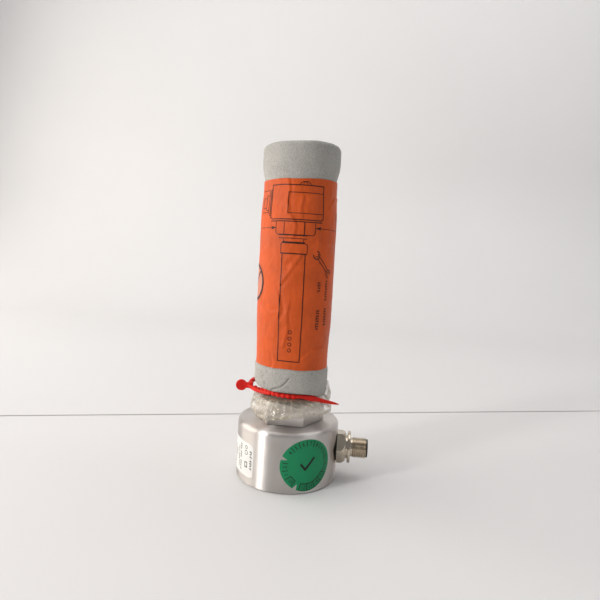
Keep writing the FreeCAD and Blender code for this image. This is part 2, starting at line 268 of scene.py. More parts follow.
# the sleeve's orange label: thin printed film, creased, a bit glossy
def paperFilm():
    base = finish["orange"]
    material, tree, shader = newMaterial("orange_label", base, 0.42)
    shader.inputs["Specular IOR Level"].default_value = 0.17
    mottle = noiseOf(tree, objectPlace(tree), 90, 6, 0.6)
    tree.links.new(rampOf(tree, mottle, shade(base, 0.86), shade(base, 1.1)), shader.inputs["Base Color"])
    tree.links.new(rampOf(tree, mottle, 0.36, 0.52), shader.inputs["Roughness"])
    crinkle = noiseOf(tree, objectPlace(tree, (1, 1, 0.6)), 320, 8, 0.62)
    bumpOf(tree, shader, crinkle, 0.0011, 0.5)
    return material


def printInk(name, color, spread=0.35):
    material, tree, shader = newMaterial(name, color, 0.5)
    varied(tree, shader, color, 700, spread, (0.42, 0.6))
    shader.inputs["Specular IOR Level"].default_value = 0.25
    return material


# thin clear polyethylene, crumpled: mostly see-through, whiter where it turns away, yellowish
def clearFilm():
    pale, yellowish = (0.57, 0.515, 0.41), (0.52, 0.435, 0.28)
    material, tree, shader = newMaterial("clear_film", pale, 0.12)
    facing = addNode(tree, "LayerWeight", Blend=0.36)
    haze = noiseOf(tree, objectPlace(tree), 210, 6, 0.65)
    veil = addNode(tree, "Math", {"operation": "MULTIPLY_ADD"})
    tree.links.new(facing.outputs["Facing"], veil.inputs[0])
    veil.inputs[1].default_value = 0.45
    tree.links.new(rampOf(tree, haze, 0.16, 0.58, 0.36, 0.72), veil.inputs[2])
    tree.links.new(veil.outputs["Value"], shader.inputs["Alpha"])
    tree.links.new(rampOf(tree, haze, pale, yellowish, 0.4, 0.72), shader.inputs["Base Color"])
    bumpOf(tree, shader, noiseOf(tree, objectPlace(tree), 520, 5, 0.6), 0.0007, 0.65)
    shader.inputs["Specular IOR Level"].default_value = 1.0
    shader.inputs["Coat Weight"].default_value = 0.9
    shader.inputs["Coat Roughness"].default_value = 0.08
    return material


print("making the finishes")
steel = turnedSteel()
machined = groundSteel()
brass = platedBrass()
black = plastic("black_insert", (0.022, 0.022, 0.025), 0.42)
rubber = plastic("black_rubber", (0.025, 0.024, 0.023), 0.62, 420, 0.0001)
white = plastic("white_insulator", (0.82, 0.81, 0.77), 0.5, 160, 0.00005, 0.05, 0.1)
green = plastic("board_green", (0.02, 0.16, 0.06), 0.34, 500, 0.00005, 0.15)
chip = plastic("chip_black", (0.03, 0.03, 0.032), 0.55, 900, 0.00004)
resin = plastic("potting_resin", (0.055, 0.045, 0.035), 0.18, 120, 0.0001)
wire = plastic("wire_brown", (0.19, 0.075, 0.03), 0.36, 400)
redPlastic = plastic("red_plastic", finish["tieRed"], 0.32, 340, 0.0001, 0.12, 0.04, 0.2)
stickerSkin = plastic("sticker_green", finish["stickerGreen"], 0.42, 420, 0.00004, 0.06, 0.0, 0.2)
whiteLabel = plastic("label_white", (0.80, 0.785, 0.75), 0.4, 240, 0.00004, 0.03)
gold = thinPlate("gold_plate", (0.83, 0.60, 0.22), 0.2, 900, (0.14, 0.3))
tinned = thinPlate("zinc_plate", (0.62, 0.63, 0.64), 0.34, 500, (0.26, 0.44))
foam = foamSkin()
orangeSkin = paperFilm()
ink = printInk("label_ink", finish["ink"])
blackInk = printInk("black_ink", (0.010, 0.011, 0.010))
paleInk = printInk("pale_ink", (0.60, 0.215, 0.135), 0.06)
film = clearFilm()
nodeFinish = {
    "head_housing": steel, "end_cover": steel, "process_connection": machined, "spigot_nut": machined,
    "probe_tube": steel, "inner_electrode": machined, "temperature_element": machined,
    "cover_seal": rubber, "thread_seal_ring": rubber, "adapter_gasket": rubber,
    "connector_adapter": brass, "connector_nut": brass, "connector_shell": brass, "board_spacers": brass,
    "contact_carrier": black, "contact_pins": gold, "electrode_lead": gold, "connector_wires": wire,
    "main_board": green, "front_end_board": green, "board_chips": chip, "board_header": chip,
    "board_capacitors": tinned, "board_screws": tinned, "board_nuts": tinned,
    "feedthrough_potting": resin, "base_insulator": white, "tip_spacer": white,
    "insulating_sleeve": white, "board_clamp_ring": white, "rating_label": whiteLabel,
    "test_sticker": stickerSkin, "probe_bag": film, "bag_skirt": film, "sealing_tie": redPlastic,
    "foam_sleeve": foam, "sleeve_label": orangeSkin,
}
for nodeName, material in nodeFinish.items():
    nodes[nodeName].data.materials.clear()
    nodes[nodeName].data.materials.append(material)


# distance in mm from (x, y) to a line through points, above zero on the right of a line that runs down
def offLine(x, y, path):
    best = 1e9
    for (ax, ay), (bx, by) in zip(path, path[1:]):
        along = ((x - ax) * (bx - ax) + (y - ay) * (by - ay)) / ((bx - ax) ** 2 + (by - ay) ** 2)
        along = min(1.0, max(0.0, along))
        apart = math.hypot(x - ax - along * (bx - ax), y - ay - along * (by - ay))
        if apart < abs(best):
            best = math.copysign(apart, (bx - ax) * (y - ay) - (by - ay) * (x - ax))
    return best


def eased(value, low, high):
    t = min(1.0, max(0.0, (value - low) / (high - low)))
    return t * t * (3 - 2 * t)


def steps(start, end, count):
    return [start + (end - start) * i / count for i in range(count + 1)]


print("shaping the foam sleeve")
foamSize = {"columns": 250, "bottom": 53.4, "top": 191.3, "outer": 21.66, "bore": 14.42, "rim": 3.1,
            "swell": 0.6, "droop": 3.7, "droopAt": 80, "droopSpread": 38}
# the deep crease near the foam's foot, as places (round the sleeve, up it)
foamCrease = ((1.2, 62.4), (0.2, 60.6), (-2.6, 57.6), (-5.6, 56.2), (-9.4, 54.6))
# each dent's place round and up the sleeve, its width and its depth
foamDents = ((-15.6, 61.4, 1.0, 0.7), (-17.2, 63.0, 0.8, 0.6), (-12.2, 64.4, 0.7, 0.5),
             (-13.2, 66.4, 0.6, 0.5), (14.8, 65.6, 0.6, 0.7), (-14.0, 57.4, 1.1, 0.5), (6.5, 183.0, 1.6, 0.3))


# the foam's section as (radius, z): under edge, outer side, rolled top, bore
def foamSection():
    size = foamSize
    low, high = size["bottom"], size["top"]
    lipWide, lipTall = 3.0, 5.5
    section = [(size["bore"] + 0.5, low + 0.25), (16.0, low), (17.4, low), (18.6, low + 0.15)]
    for a in steps(-80, 0, 16):
        turn = math.radians(a)
        section.append((size["outer"] - lipWide + lipWide * math.cos(turn),
                        low + 0.1 + lipTall + lipTall * math.sin(turn)))
    section += [(size["outer"], z) for z in steps(low + 6.0, 69.0, 20)]
    section += [(size["outer"] - 0.32, z) for z in steps(72.0, 168.0, 26)]
    section += [(size["outer"] + size["swell"] * eased(z, 170.5, 182.0) - 0.2 * eased(z, 172, 169), z)
                for z in steps(169.0, high - size["rim"], 28)]
    for a in steps(6, 90, 14):
        turn = math.radians(a)
        section.append((size["outer"] + size["swell"] - size["rim"] * (1 - math.cos(turn)),
                        high - size["rim"] * (1 - math.sin(turn))))
    section += [(16.4, high), (15.6, high - 0.1), (14.9, high - 0.6), (size["bore"], high - 1.6)]
    section += [(size["bore"], z) for z in steps(high - 4, low + 2, 60)]
    return section


# how the label holds the foam: its ends' heights, how far they draw it in, and how far they sit askew
hold = {"low": 67.6, "high": 171.4, "lowPull": 0.85, "highPull": 0.95, "lowDrop": 1.1, "highRise": 1.3}


# how far the label's ends draw the foam in, in mm
def squeeze(z):
    ends = hold["highPull"] * eased(z, 150, 170) + hold["lowPull"] * eased(z, 98, 72)
    return ends * eased(z, hold["low"] - 1.2, hold["low"]) * (1 - eased(z, hold["high"], 180.0))


# the label sits a little askew: on the plug's side its top is higher and its bottom is lower
def askew(angle, z):
    side = max(0.0, math.sin(math.radians(angle)))
    return side * (hold["highRise"] * eased(z, 168.5, 171.5) - hold["lowDrop"] * eased(z, 70.5, 67.5))


# how far the foam's skin stands in or out, in mm
def foamLumps(angle, radius, z):
    point = ringPoint(angle, radius, z)
    lump = 0.16 * rough(point, 17, 3) + 0.10 * rough(point, 6, 5) + 0.05 * rough(point, 1.9, 8)
    if radius < 16:
        return -abs(lump) * 0.5
    arc = math.radians(angle) * sleeveArc
    if z < 70 and abs(arc) < 24:
        apart = abs(offLine(arc, z, foamCrease))
        lump += 0.12 * math.exp(-((apart - 1.2) / 0.9) ** 2) - 0.95 * math.exp(-(apart / 0.42) ** 2)
    for dentArc, dentZ, wide, deep in foamDents:
        if abs(z - dentZ) < 4 and abs(arc - dentArc) < 5:
            lump -= deep * math.exp(-((arc - dentArc) ** 2 + (z - dentZ) ** 2) / (wide * wide))
    return lump


def foamTube():
    section = foamSection()
    count = len(section)
    points = []
    for i, (radius, z) in enumerate(section):
        before, after = section[i - 1], section[(i + 1) % count]
        out = Vector((after[1] - before[1], before[0] - after[0])).normalized()
        for j in range(foamSize["columns"]):
            angle = 360.0 * j / foamSize["columns"] - 180
            lump = foamLumps(angle, radius, z) - squeeze(z) * eased(radius, 16, 20)
            fromDroop = (angle - foamSize["droopAt"]) / foamSize["droopSpread"]
            droop = foamSize["droop"] * math.exp(-fromDroop ** 2) * eased(z, 67, 55)
            outer = 1.0 if z > 120 else eased(radius, 18.4, 20.6)
            lift = 0.5 * eased(z, 172, 188) + (askew(angle, z) - droop) * outer
            points.append(ringPoint(angle, radius + out.x * lump, z + out.y * lump + lift))
    faces = gridFaces(count, foamSize["columns"], True)
    last = (count - 1) * foamSize["columns"]
    for j in range(foamSize["columns"]):
        k = (j + 1) % foamSize["columns"]
        faces.append((last + j, last + k, k, j))
    return makeMesh("sleeve_foam", points, faces)


foamPiece = foamTube()
dress(foamPiece, "sleeve", foam, "foam_grey", "foam_sleeve")


print("wrapping the orange label")
wrap = {"start": -184.0, "end": 189.7, "bottom": 67.4, "top": 171.5, "radius": 21.9, "step": 0.5,
        "lapLift": 0.26, "endLift": 0.42}
# each crease is a line through places (round the sleeve, up it)
wrapCreases = (((-4.4, 171.5), (-3.6, 166.0), (-4.4, 160.0), (-3.4, 155.0)),
               ((4.4, 161.0), (3.2, 156.0), (4.0, 152.4)), ((-1.2, 150.6), (1.0, 146.6), (0.2, 141.0)),
               ((4.4, 130.3), (0.4, 124.0), (-5.6, 115.1)), ((-0.7, 125.2), (7.0, 124.8), (16.0, 125.6)),
               ((-0.4, 104.0), (-1.6, 98.0), (-0.8, 90.0), (-2.6, 81.0)),
               ((-6.8, 108.0), (-5.4, 101.0), (-6.4, 96.0)),
               ((-19.0, 101.0), (-13.0, 98.2), (-8.0, 99.0)), ((9.0, 74.0), (14.5, 78.4), (21.0, 79.0)),
               ((-24.0, 131.0), (-18.0, 134.0)), ((14.8, 143.0), (14.6, 128.0)),
               ((13.0, 137.5), (22.0, 137.8)),
               ((22.0, 158.0), (27.0, 163.0), (34.0, 164.0)), ((-9.0, 67.4), (-8.2, 71.0), (-9.4, 74.0)),
               ((48.0, 90.0), (58.0, 110.0), (60.0, 128.0)), ((-62.0, 150.0), (-50.0, 141.0), (-44.0, 118.0)))


# the label's radius in mm: it follows the foam, wrinkles softly and laps over itself at the back
def wrapRadius(angle, z):
    point = ringPoint(angle, sleeveArc, z)
    arc = math.radians(angle) * sleeveArc
    radius = wrap["radius"] - squeeze(max(hold["low"], min(hold["high"], z)))
    radius += 0.10 * rough(point, 15, 31) + 0.05 * rough(point, 5, 37)
    pulled = rough((point.x, point.y, point.z * 0.45), 3.4, 41)
    radius += 0.10 * (1 - 2 * abs(pulled)) + 0.03 * rough(point, 2.0, 47)
    for crease in wrapCreases:
        if abs(arc - crease[0][0]) < 26 and abs(z - crease[0][1]) < 36:
            apart = offLine(arc, z, crease)
            wide = 0.42 if apart > 0 else 1.9
            radius += 0.36 * math.exp(-(apart / wide) ** 2) - 0.16 * math.exp(-((apart - 1.4) / 0.9) ** 2)
    radius += wrap["lapLift"] * eased(angle, 168, 176)
    radius += wrap["endLift"] * eased(angle, 186.6, wrap["end"]) * (1.1 + rough((0, 0, z * mm), 9, 57))
    edge = min(z - wrap["bottom"], wrap["top"] - z)
    return radius + 0.07 * math.exp(-edge / 1.0) * (1 + rough(point, 6, 51))


def wrapEdge(angle, z):
    share = (z - wrap["bottom"]) / (wrap["top"] - wrap["bottom"])
    point = ringPoint(angle, sleeveArc, 0)
    ripple = 0.35 * rough(point, 11, 61) * (1 - share) + 0.25 * rough(point, 9, 67) * share
    return z + askew(angle, z) + ripple


def wrappedLabel():
    columns = int(math.radians(wrap["end"] - wrap["start"]) * sleeveArc / wrap["step"]) + 1
    rows = int((wrap["top"] - wrap["bottom"]) / wrap["step"]) + 1
    points = []
    for z in steps(wrap["bottom"], wrap["top"], rows - 1):
        for angle in steps(wrap["start"], wrap["end"], columns - 1):
            points.append(ringPoint(angle, wrapRadius(angle, z), wrapEdge(angle, z)))
    return makeMesh("orange_label", points, gridFaces(rows, columns, False))


labelPiece = wrappedLabel()
dress(labelPiece, "sleeve", orangeSkin, "label_orange", "sleeve_label")


# gathers flat shapes drawn in mm and lays them on a surface; place turns (x, y) into a point
class Print:
    def __init__(self, place):
        self.place = place
        self.points = []
        self.faces = []

    def quad(self, corners):
        first = len(self.points)
        self.points += [self.place(x, y) for x, y in corners]
        self.faces.append((first, first + 1, first + 2, first + 3))

    def line(self, path, width, tidyEnds=True):
        for (ax, ay), (bx, by) in zip(path, path[1:]):
            length = math.hypot(bx - ax, by - ay)
            ux, uy = (bx - ax) / length, (by - ay) / length
            grow = width * 0.45 if tidyEnds else 0.0
            nx, ny = -uy * width / 2, ux * width / 2
            marks = steps(-grow, length + grow, max(1, int(length / 0.7)))
            for s, t in zip(marks, marks[1:]):
                self.quad([(ax + ux * s - nx, ay + uy * s - ny), (ax + ux * t - nx, ay + uy * t - ny),
                           (ax + ux * t + nx, ay + uy * t + ny), (ax + ux * s + nx, ay + uy * s + ny)])

    def box(self, left, right, low, high, width):
        self.line([(left, low), (right, low), (right, high), (left, high), (left, low)], width)

    def circle(self, x, y, radius, width, start=0, end=360, sides=40):
        path = [(x + radius * math.cos(math.radians(a)), y + radius * math.sin(math.radians(a)))
                for a in steps(start, end, sides)]
        self.line(path, width, False)

    def figures(self, text, x, y, size, turn):
        bpy.ops.object.text_add()
        piece = bpy.context.object
        piece.data.body = text
        piece.data.size = size
        piece.data.align_x = "CENTER"
        piece.data.align_y = "CENTER"
        piece.data.resolution_u = 3
        piece.data.offset = 0.012 * size
        bpy.ops.object.convert(target="MESH")
        c, s = math.cos(math.radians(turn)), math.sin(math.radians(turn))
        first = len(self.points)
        for v in piece.data.vertices:
            along, up = v.co.x * 0.8, v.co.y
            self.points.append(self.place(x + along * c - up * s, y + along * s + up * c))
        self.faces += [tuple(first + i for i in face.vertices) for face in piece.data.polygons]
        bpy.data.objects.remove(piece)

    def piece(self, name):
        return makeMesh(name, self.points, self.faces, False)


print("printing the orange label")
inkLift, fillLift = 0.11, 0.07  # how far the print stands off the label, in mm
ringSign = (-29.5, 114.2)  # the round sign's middle, along the wrap and up


def onWrap(x, z, lift=inkLift):
    angle = math.degrees(x / sleeveArc)
    return ringPoint(angle, wrapRadius(angle, z) + lift, wrapEdge(angle, z))


# short strokes in a row, in place of a word that reads along z
def wordStrokes(art, x, top, bottom, tall, seed=0):
    z = top
    k = seed
    while z > bottom:
        reach = tall / 2 * (1.25 if k % 4 == 1 else 1.0)
        art.line([(x - tall / 2, z), (x + reach, z)], 0.62, False)
        if k % 3 != 2:
            art.line([(x - tall / 2, z), (x - tall / 2, max(bottom, z - 0.95))], 0.45, False)
        z -= 1.45
        k += 1


# a sketch of the sensor, head up, with arrows to its hexagon, a spanner and strokes for words
def sketchPrint():
    art = Print(onWrap)
    thin, thick = 0.34, 0.5
    art.line([(-15, 168.2), (16.4, 168.2), (16.4, 150.6), (15.2, 149.7), (-13.8, 149.7), (-15, 150.6),
              (-15, 168.2)], thick)
    art.line([(-14.4, 148.6), (15.6, 148.6)], thick)
    art.line([(1.6, 168.2), (2.6, 169.3), (3.8, 169.9), (6.6, 169.9), (7.8, 169.2), (8.4, 168.2)], thin)
    art.circle(5.1, 168.6, 1.2, 0.3, 0, 180, 12)
    art.line([(16.4, 164.2), (-4.0, 164.2), (-4.0, 153.1), (16.4, 153.1)], thin)
    art.line([(-15.9, 166.0), (-15.9, 151.6)], thick)
    art.line([(-17.2, 164.9), (-17.2, 152.6)], thin)
    art.box(-19.6, -17.2, 154.6, 162.6, thin)
    art.line([(-17.2, 165.4), (-25.5, 165.4)], 0.28)
    art.line([(-17.2, 153.4), (-23.5, 153.4)], thin)
    art.box(-23.4, -19.6, 155.8, 161.2, thin)
    art.line([(-10.7, 148.1), (-10.7, 142.6), (-9.6, 141.5), (10.7, 141.5), (11.8, 142.6), (11.8, 148.1)],
             thin)
    art.line([(-5.7, 148.1), (-5.7, 141.5)], thin)
    art.line([(5.6, 148.1), (5.6, 141.5)], thick)
    art.line([(-8.4, 141.2), (7.2, 141.2)], thick)
    for tail, tip, z in ((-26.5, -11.1, 145.0), (30.9, 12.4, 145.5)):
        back = tip + (2.6 if tail > tip else -2.6)
        art.line([(tail, z), (back, z)], 0.28)
        for side in (-0.7, -0.35, 0.0, 0.35, 0.7):
            art.line([(back, z + side), (tip, z)], 0.4)
    art.line([(-8.4, 139.5), (7.2, 139.5)], thin)
    art.line([(-5.9, 137.2), (5.7, 137.2)], 1.0)
    art.line([(-6.2, 139.5), (-5.4, 137.6), (-7.0, 136.4), (-7.0, 131.8)], thin)
    art.line([(5.6, 139.5), (5.2, 137.6), (7.7, 136.2), (7.7, 131.8)], thin)
    art.line([(-7.0, 131.3), (7.4, 131.3)], 0.62)
    art.line([(-6.1, 130.8), (-6.1, 71.9), (6.7, 71.9), (6.7, 130.8)], thick)
    for z in (88.2, 84.7, 81.4, 78.1):
        art.circle(0.5, z, 0.95, 0.4, sides=18)
    art.box(29.5, 33.0, 151.0, 155.0, 0.3)
    for radius in (9.3, 9.7, 10.1, 10.5):
        art.circle(*ringSign, radius, 0.44, sides=130)
    art.line([(-22.9, 120.8), (-36.1, 107.6)], 1.3)
    wordStrokes(art, 16.3, 116.0, 110.5, 1.6)
    wordStrokes(art, 22.1, 117.0, 105.5, 1.7, 2)
    wordStrokes(art, 16.3, 100.5, 90.0, 1.8, 1)
    wordStrokes(art, 22.1, 101.5, 91.5, 1.8, 3)
    spannerAt((13.6, 131.0), (23.0, 121.2), art)
    return art


# the pale middle of the ring
def ringFill():
    art = Print(lambda x, z: onWrap(x, z, fillLift))
    for radius in steps(0.4, 9.6, 23):
        art.circle(*ringSign, radius, 0.44, sides=max(12, int(radius * 13)))
    return art


# a double-ended spanner drawn in outline between two places
def spannerAt(start, end, art):
    turn = math.atan2(end[1] - start[1], end[0] - start[0])
    ux, uy = math.cos(turn), math.sin(turn)
    for side in (-0.85, 0.85):
        art.line([(start[0] + ux * 1.8 - uy * side, start[1] + uy * 1.8 + ux * side),
                  (end[0] - ux * 1.8 - uy * side, end[1] - uy * 1.8 + ux * side)], 0.5)
    for (x, y), facing in ((start, 180), (end, 0)):
        middle = math.degrees(turn) + facing
        art.circle(x, y, 2.1, 0.6, middle + 38, middle + 322, 20)
        art.circle(x, y, 0.9, 0.5, middle + 70, middle + 290, 12)


artPiece = sketchPrint().piece("label_print")
dress(artPiece, "sleeve", ink, "label_orange")
fillPiece = ringFill().piece("label_print_pale")
dress(fillPiece, "sleeve", paleInk, "label_orange")


print("printing the stickers on the head")
dial = {"angle": 28.4, "z": 16.25, "lift": 0.05, "skin": 30.14, "slot": 20.0, "firstMonth": 202.6,
        "firstYear": 222.6, "months": 12.2, "years": 12.4, "ring": 10.4, "rim": 14.1,
        "punchedMonth": 3, "punchedYear": 1}


def onDial(x, y):
    skin = dial["skin"]
    return ringPoint(dial["angle"] + math.degrees(x / skin), skin + dial["lift"], dial["z"] + y)


# a flat place at this distance and angle from the middle
def turned(radius, angle):
    return radius * math.cos(math.radians(angle)), radius * math.sin(math.radians(angle))


def ringMark(art, angle, inner, outer, width):
    art.line([turned(inner, angle), turned(outer, angle)], width, False)


# months round the top with ticks between, years in boxes below, the punched ones left blank, a tick mark
def dialPrint():
    art = Print(onDial)
    for month in range(1, 13):
        angle = dial["firstMonth"] - dial["slot"] * (month - 1)
        if month != dial["punchedMonth"]:
            art.figures(str(month), *turned(dial["months"], angle), 3.2, angle - 90)
    for i in range(13):
        angle = dial["firstMonth"] + dial["slot"] * (0.5 - i)
        if i != dial["punchedMonth"]:
            ringMark(art, angle, dial["ring"] + 0.3, dial["rim"], 0.42)
    for year in range(6):
        angle = dial["firstYear"] + dial["slot"] * year
        if year != dial["punchedYear"]:
            art.figures(str(10 + year), *turned(dial["years"], angle), 3.1, angle + 90)
            art.circle(0, 0, dial["ring"], 0.5, angle - 10, angle + 10, 10)
        ringMark(art, angle + 10, dial["ring"], dial["rim"], 0.5)
    ringMark(art, dial["firstYear"] - 10, dial["ring"], dial["rim"], 0.5)
    art.circle(0, 0, dial["rim"] + 0.05, 0.3, dial["firstYear"] + 31, dial["firstYear"] + 110)
    art.line([(-3.4, 0.6), (-1.0, -2.2), (4.0, 3.8)], 1.25)
    return art


rating = {"skin": 30.14, "lift": 0.05, "edge": -31.7}


# x runs back from the label's front edge, in mm
def onRating(x, z):
    return ringPoint(rating["edge"] - math.degrees(x / rating["skin"]), rating["skin"] + rating["lift"], z)


# rows of strokes in place of words, a blank square and rings in place of marks
def ratingPrint():
    art = Print(onRating)
    wordStrokes(art, 2.1, 14.6, 9.6, 1.3)
    wordStrokes(art, 2.1, 19.9, 16.2, 1.3, 1)
    art.box(5.0, 7.0, 10.2, 13.0, 0.5)
    art.circle(6.0, 18.6, 1.2, 0.32, sides=20)
    art.circle(6.0, 21.6, 0.9, 0.3, sides=16)
    for k in range(6):
        x = 11.5 + 6.6 * k
        for low, high in ((6.8, 12.0), (12.9, 17.2), (18.0, 22.0)):
            if (k + int(low)) % 4 != 3:
                wordStrokes(art, x, high - 0.4 * (k % 3), low, 1.4 if k % 2 else 1.1, k)
        wordStrokes(art, x + 2.7, 19.5 - 1.1 * k, 6.8, 0.9, k)
    art.box(53.0, 58.4, 7.2, 13.0, 0.45)
    for k in range(5):
        art.line([(53.9 + 0.9 * k, 8.0), (53.9 + 0.9 * k, 12.2)], 0.34)
    return art


dialPiece = dialPrint().piece("test_sticker_print")
dress(dialPiece, "sensor", blackInk, "sticker_green")
ratingPiece = ratingPrint().piece("rating_label_print")
dress(ratingPiece, "sensor", blackInk, "label_white")


print("gathering the film")
skirt = {"columns": 330, "rows": 64, "pleats": 27, "inner": 21.5, "lipInner": 21.35, "widest": 25.2}
# the skirt's section as (radius, z), from the neck down to the turned-in lip
skirtSection = ((15.7, 52.4), (15.6, 50.1), (16.4, 49.5), (18.2, 49.2), (19.9, 48.5), (21.2, 47.2),
                (22.0, 45.2), (22.5, 42.8), (22.8, 40.6), (22.9, 38.8), (22.8, 37.4), (22.4, 36.9),
                (22.1, 37.3), (22.2, 38.4))
# the lip's height round the object, as (angle, z)
lipHeights = ((-180, 37.6), (-140, 39.0), (-105, 40.6), (-84, 40.4), (-67, 39.2), (-50, 37.7),
              (-39, 37.2), (-25, 37.3), (-12, 38.5), (0, 39.6), (20, 41.2), (36, 41.6), (65, 40.4),
              (100, 39.3), (140, 38.0), (180, 37.6))


# a value read from pairs in rising order, eased between them
def between(pairs, x):
    for (x0, y0), (x1, y1) in zip(pairs, pairs[1:]):
        if x <= x1:
            return y0 + (y1 - y0) * eased(x, x0, x1)
    return pairs[-1][1]


def alongSection(section, t):
    at = t * (len(section) - 1)
    k = min(int(at), len(section) - 2)
    (r0, z0), (r1, z1) = section[k], section[k + 1]
    return r0 + (r1 - r0) * (at - k), z0 + (z1 - z0) * (at - k)


# sharp ridges between soft hollows, as crumpled film has
def crumple(point, size, seed):
    warp = Vector((rough(point, size * 1.6, seed + 7), rough(point, size * 1.6, seed + 9),
                   rough(point, size * 1.6, seed + 11))) * size * 0.6 * mm
    return 1 - 2.4 * abs(rough(Vector(point) + warp, size, seed))


def skirtPoint(angle, t):
    radius, z = alongSection(skirtSection, t)
    a = math.radians(angle)
    mouth = eased(t, 0.30, 0.62)  # 0 at the neck, 1 where the film stands open
    z += (between(lipHeights, angle) - 37.0) * eased(t, 0.42, 0.85)
    where = ringPoint(angle, radius, z)
    sway = 0.16 * math.sin(3 * a + 1.1) + 0.12 * math.sin(7 * a + 0.3)
    sway += 0.5 * rough(ringPoint(angle, 20, 0), 9, 71)
    fold = math.sin(skirt["pleats"] * a + 2.6 * sway + 2.0 * t)
    fine = math.sin(2.6 * skirt["pleats"] * a + 5 * sway)
    neck = 1 - eased(t, 0.2, 0.42)
    radius += neck * 0.12 * fine + (0.42 * fold + 0.2 * fine) * eased(t, 0.14, 0.34) * (1 - 0.75 * mouth)
    radius += mouth * (0.3 - 0.9 * max(0, math.cos(a + 1.4)) + 1.3 * max(0, math.cos(a - 1.65)))
    swept = Vector((where.x * 0.45, where.y * 0.45, where.z * 1.7 + 0.006 * math.sin(a + 0.7)))
    radius += mouth * (0.72 * crumple(swept, 4.6, 81) + 0.20 * crumple(where, 2.4, 83))
    radius += 0.34 * crumple((where.x, where.y, where.z * 0.35), 2.4, 87) * eased(t, 0.2, 0.4)
    z += eased(t, 0.5, 0.8) * 0.5 * rough(ringPoint(angle, 24, 0), 5, 91)
    z += 0.3 * crumple(where, 5.0, 95) * eased(t, 0.2, 0.4)
    if t > 0.45:  # keeps clear of the hexagon's corners
        radius = max(radius, skirt["lipInner"] if t > 0.86 else skirt["inner"])
    return ringPoint(angle, min(radius, skirt["widest"]), z)


def filmSkirt():
    points = []
    for t in steps(0, 1, skirt["rows"] - 1):
        for j in range(skirt["columns"]):
            points.append(skirtPoint(360.0 * j / skirt["columns"] - 180, t))
    return makeMesh("film_skirt", points, gridFaces(skirt["rows"], skirt["columns"], True))


flap = {"start": 76.0, "end": 150.0, "low": 45.2, "high": 56.2, "radius": 22.7, "columns": 100, "rows": 34}


# a loose fold of the film that stands up beside the sleeve
def filmFlap():
    points = []
    for s in steps(0, 1, flap["rows"] - 1):
        for u in steps(0, 1, flap["columns"] - 1):
            angle = flap["start"] + (flap["end"] - flap["start"]) * u
            crest = flap["high"] * (1 - 0.17 * abs(2 * u - 0.85) ** 2.4)
            crest += 0.5 * rough(ringPoint(angle, 24, 0), 4, 101)
            z = flap["low"] + (crest - flap["low"]) * s
            radius = flap["radius"] + 1.5 * math.sin(math.pi * min(1, s * 1.05)) + 0.8 * (u - 0.5) * s
            where = ringPoint(angle, radius, z)
            radius += 0.4 * crumple(where, 6.5, 103) * eased(s, 0, 0.3) + 0.15 * crumple(where, 2.4, 107)
            points.append(ringPoint(angle, max(radius, 22.3), z))
    return makeMesh("film_flap", points, gridFaces(flap["rows"], flap["columns"], False))


skirtPiece = joined([filmSkirt(), filmFlap()], "film_skirt")
dress(skirtPiece, "bag", film, "clear_film", "bag_skirt")

sock = {"columns": 170, "rows": 210, "low": 49.0, "top": 185.6, "closesAt": 180.8,
        "thread": 13.3, "threadTop": 63.4, "probe": 12.3, "widest": 14.1}


# the film over the thread and the probe, shrunk close, with long creases and a pinched end
def sockPoint(angle, t):
    z = sock["low"] + (sock["top"] - sock["low"]) * t
    core = sock["thread"] - (sock["thread"] - sock["probe"]) * eased(z, sock["threadTop"], 70)
    where = ringPoint(angle, 13, z)
    long = rough((where.x, where.y, where.z * 0.3), 5.0, 121)
    radius = core + 0.42 + 0.22 * (1 - 2 * abs(long))
    radius += 0.14 * crumple((where.x, where.y, where.z * 0.6), 4.0, 127)
    radius += 0.35 * eased(z, 66, 80) * (1 + rough((where.x, where.y, where.z * 0.4), 9, 131)) * 0.7
    radius = max(core + 0.1, min(radius, sock["widest"]))
    close = eased(z, sock["closesAt"], sock["top"])
    pinch = math.sin(math.radians(angle) * 14 + 1.5 * long)
    radius = radius * (1 - close) + close * (0.9 + 0.5 * pinch)
    return ringPoint(angle, radius, z)


def filmSock():
    points = []
    for t in steps(0, 1, sock["rows"] - 1):
        for j in range(sock["columns"]):
            points.append(sockPoint(360.0 * j / sock["columns"] - 180, t))
    faces = gridFaces(sock["rows"], sock["columns"], True)
    points.append(Vector((0, 0, sock["top"] + 0.2)) * mm)
    last = (sock["rows"] - 1) * sock["columns"]
    for j in range(sock["columns"]):
        faces.append((last + j, last + (j + 1) % sock["columns"], len(points) - 1))
    return makeMesh("probe_film", points, faces)


sockPiece = filmSock()
dress(sockPiece, "bag", film, "clear_film", "probe_bag")


print("making the bead tie")
tie = {"z": 51.2, "radius": 16.75, "pitch": 10.3, "firstBead": -58.0, "lastBead": 21.0, "turn": 6.2,
       "bead": (1.5, 1.25, 1.5), "lean": 2.3, "strandTurn": -43,
       "strandBeads": ((-15.6, -8.9, 50.35), (-17.9, -6.9, 50.15), (-20.2, -4.6, 50.25))}


def shaped(piece, bevel):
    choose(piece)
    bpy.ops.object.transform_apply(location=True, rotation=True, scale=True)
    if bevel:
        rounding = piece.modifiers.new("round", "BEVEL")
        rounding.width = bevel * mm
        rounding.segments = 3
        rounding.limit_method = "ANGLE"
        bpy.ops.object.modifier_apply(modifier="round")
    return piece


def bar(x0, x1, y, z, across, tall, bevel):
    bpy.ops.mesh.primitive_cube_add(size=1, location=((x0 + x1) / 2 * mm, y * mm, z * mm),
                                    scale=(abs(x1 - x0) * mm, across * mm, tall * mm))
    return shaped(bpy.context.object, bevel)


